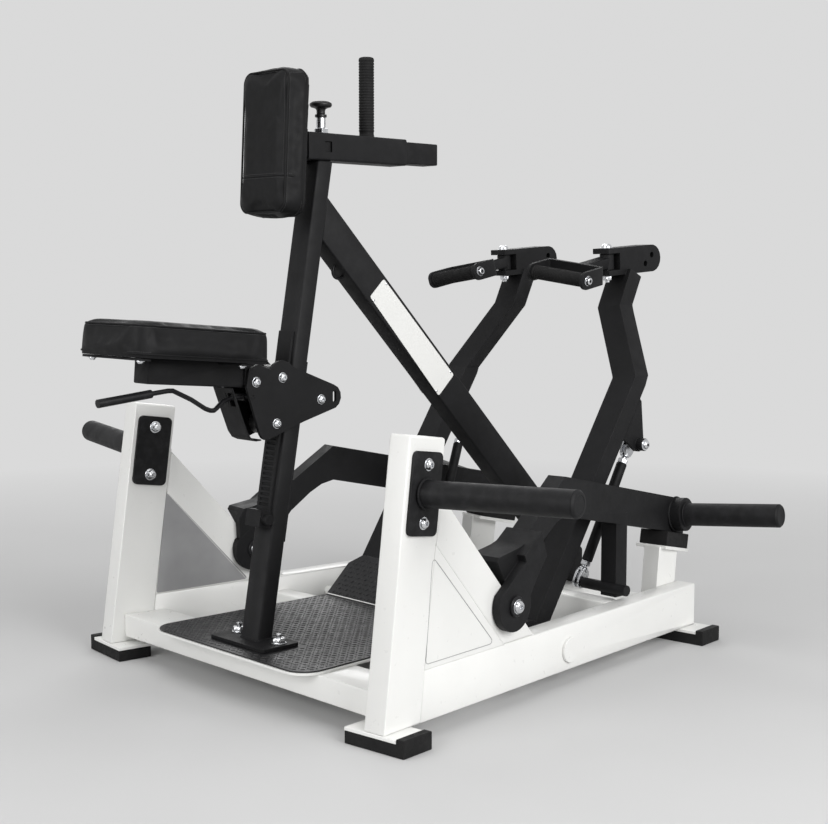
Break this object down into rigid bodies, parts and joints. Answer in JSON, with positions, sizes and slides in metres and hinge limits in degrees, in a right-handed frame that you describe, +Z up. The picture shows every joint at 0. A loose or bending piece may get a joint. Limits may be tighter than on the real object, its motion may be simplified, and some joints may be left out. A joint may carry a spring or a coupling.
{
  "type": "plate-loaded seated row machine",
  "caption": "Plate-loaded seated row machine: pull levers with swivel handles lift load arms; chest pad slides, seat climbs a leaning column.",
  "frame": {"origin": "on the floor under the middle of the whole machine's box", "axes": "+X to the seated user's right, +Y the way the user faces, +Z up"},
  "size_m": [1.617, 1.5174, 1.3493],
  "materials": {
    "white_paint": "gloss powder coat",
    "black_paint": "fine textured powder coat",
    "rubber": "matte moulded rubber",
    "roller": "satin nylon",
    "chrome": "bright zinc and chrome plate",
    "tread": "black tread pattern",
    "upholstery": "smooth black vinyl over foam"
  },
  "bodies": {
    "frame": {"side_rail_left": "white_paint", "side_rail_right": "white_paint", "upright_left": "white_paint", "upright_right": "white_paint", "brace_left": "white_paint", "brace_right": "white_paint", "front_cross_tube": "white_paint", "mid_cross_tube": "white_paint", "rear_cross_tube": "white_paint", "foot_rest_carrier": "white_paint", "foot_tray": "white_paint", "tread_plate": "tread", "lever_axle": "white_paint", "column": "black_paint", "spine": "black_paint", "height_rack": "black_paint", "top_box": "black_paint", "grip_post": "black_paint", "pin_barrel": "chrome", "storage_horn_left": "black_paint", "storage_horn_right": "black_paint", "rubber_foot_front_left": "rubber", "rubber_foot_front_right": "rubber", "rubber_foot_rear_left": "rubber", "rubber_foot_rear_right": "rubber", "stop_bumper_left": "rubber", "stop_bumper_right": "rubber", "arm_pivot_bolt_left": "chrome", "arm_pivot_bolt_right": "chrome"},
    "pull_pin": {"pull_pin": "black_paint"},
    "pad_carrier": {"pad_slide_tube": "black_paint", "pad_plate": "black_paint", "chest_pad": "upholstery"},
    "seat_carriage": {"carriage_plate_left": "black_paint", "carriage_plate_right": "black_paint", "carriage_guard": "black_paint", "seat_tube": "black_paint", "seat_pad": "upholstery", "upper_roller_bolt": "chrome", "lower_roller_bolt": "chrome", "rear_roller_bolt": "chrome", "seat_bolt": "chrome"},
    "release_lever": {"release_lever": "black_paint"},
    "upper_roller": {"upper_roller": "roller"},
    "lower_roller": {"lower_roller": "roller"},
    "rear_roller": {"rear_roller": "roller"},
    "lever_left": {"lever_left": "black_paint", "swivel_bolt_left": "chrome"},
    "handle_left": {"stirrup_left": "black_paint"},
    "grip_left": {"grip_left": "rubber"},
    "load_arm_left": {"load_arm_left": "black_paint", "load_horn_left": "black_paint"},
    "link_left": {"link_left": "black_paint"},
    "lever_right": {"lever_right": "black_paint", "swivel_bolt_right": "chrome"},
    "handle_right": {"stirrup_right": "black_paint"},
    "grip_right": {"grip_right": "rubber"},
    "load_arm_right": {"load_arm_right": "black_paint", "load_horn_right": "black_paint"},
    "link_right": {"link_right": "black_paint"}
  },
  "joints": [
    {"name": "lever_turn_right", "type": "hinge", "parent": "frame", "child": "lever_right", "pos_m": [0.2765, 0.15211, 0.0763], "axis": [1, 0, 0], "range_deg": [0, 24]},
    {"name": "arm_turn_right", "type": "hinge", "parent": "frame", "child": "load_arm_right", "pos_m": [0.42433, -0.07153, 0.2133], "axis": [0.9946, 0.1035, 0], "range_deg": [0, 11.5]},
    {"name": "link_turn_right", "type": "hinge", "parent": "load_arm_right", "child": "link_right", "pos_m": [0.245, 0.39911, 0.1593], "axis": [1, 0, 0], "range_deg": [0, 22.5]},
    {"name": "handle_swivel_right", "type": "hinge", "parent": "lever_right", "child": "handle_right", "pos_m": [0.17, 0.57911, 0.9073], "axis": [0, -0.0698, 0.9976], "range_deg": [-25, 25]},
    {"name": "grip_spin_right", "type": "hinge", "parent": "handle_right", "child": "grip_right", "pos_m": [0.17, 0.40537, 0.87353], "axis": [0.991, 0.0256, -0.1315], "continuous": true},
    {"name": "lever_turn_left", "type": "hinge", "parent": "frame", "child": "lever_left", "pos_m": [-0.2765, 0.15211, 0.0763], "axis": [1, 0, 0], "range_deg": [0, 24]},
    {"name": "arm_turn_left", "type": "hinge", "parent": "frame", "child": "load_arm_left", "pos_m": [-0.42433, -0.07153, 0.2133], "axis": [0.9946, -0.1035, 0], "range_deg": [0, 11.5]},
    {"name": "link_turn_left", "type": "hinge", "parent": "load_arm_left", "child": "link_left", "pos_m": [-0.245, 0.39911, 0.1593], "axis": [1, 0, 0], "range_deg": [0, 22.5]},
    {"name": "handle_swivel_left", "type": "hinge", "parent": "lever_left", "child": "handle_left", "pos_m": [-0.17, 0.57911, 0.9073], "axis": [0, -0.0698, 0.9976], "range_deg": [-25, 25]},
    {"name": "grip_spin_left", "type": "hinge", "parent": "handle_left", "child": "grip_left", "pos_m": [-0.17, 0.40537, 0.87353], "axis": [0.991, -0.0256, 0.1315], "continuous": true},
    {"name": "pull_pin_slide", "type": "slide", "parent": "frame", "child": "pull_pin", "axis": [0, 0, 1], "range_m": [0, 0.012], "stiffness_N_per_m": 900},
    {"name": "pad_slide", "type": "slide", "parent": "frame", "child": "pad_carrier", "axis": [0, 1, 0], "range_m": [-0.1, 0.03]},
    {"name": "carriage_slide", "type": "slide", "parent": "frame", "child": "seat_carriage", "axis": [0, 0.1714, 0.9852], "range_m": [-0.14, 0.055]},
    {"name": "release_turn", "type": "hinge", "parent": "seat_carriage", "child": "release_lever", "pos_m": [0, -0.39689, 0.6283], "axis": [1, 0, 0], "range_deg": [-8, 0], "stiffness_Nm_per_rad": 4},
    {"name": "upper_roller_spin", "type": "hinge", "parent": "seat_carriage", "child": "upper_roller", "pos_m": [0, -0.31914, 0.6653], "axis": [1, 0, 0], "continuous": true},
    {"name": "lower_roller_spin", "type": "hinge", "parent": "seat_carriage", "child": "lower_roller", "pos_m": [0, -0.33567, 0.5703], "axis": [1, 0, 0], "continuous": true},
    {"name": "rear_roller_spin", "type": "hinge", "parent": "seat_carriage", "child": "rear_roller", "pos_m": [0, -0.21562, 0.6133], "axis": [1, 0, 0], "continuous": true}
  ],
  "couplings": [
    {"joint": "arm_turn_right", "follows": "lever_turn_right", "ratio": 0.4725},
    {"joint": "link_turn_right", "follows": "lever_turn_right", "ratio": 0.905},
    {"joint": "arm_turn_left", "follows": "lever_turn_left", "ratio": 0.4725},
    {"joint": "link_turn_left", "follows": "lever_turn_left", "ratio": 0.905}
  ]
}
